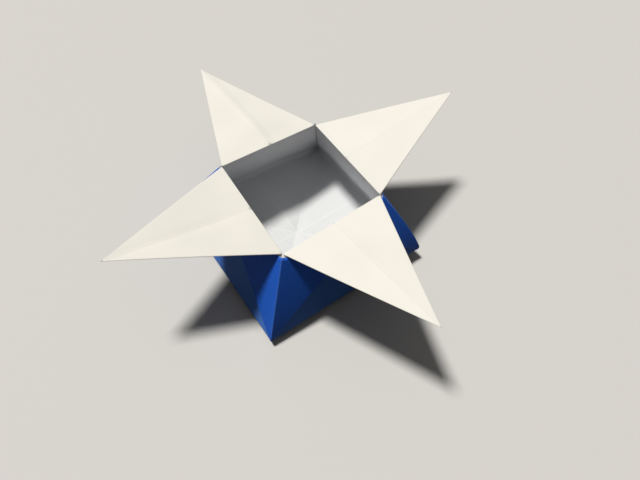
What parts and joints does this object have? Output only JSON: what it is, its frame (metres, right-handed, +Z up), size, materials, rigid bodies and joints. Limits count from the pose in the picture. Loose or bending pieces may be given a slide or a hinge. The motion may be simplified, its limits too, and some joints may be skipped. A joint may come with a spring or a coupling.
{
  "type": "origami horned box",
  "caption": "Open square box with leaning walls and pointed horns at the rim, folded from one sheet of two-coloured paper; holds small things.",
  "frame": {"origin": "centre of the underside of the base, on the surface that the box stands on", "axes": "+Z up out of the open top, +X and +Y square to the sides of the base, each towards a horn"},
  "size_m": [0.1275, 0.1287, 0.0388],
  "materials": {
    "paper": "matte paper, white on the inner side and printed royal blue on the outer side"
  },
  "bodies": {
    "root": {"folded_sheet": "paper"}
  },
  "joints": []
}
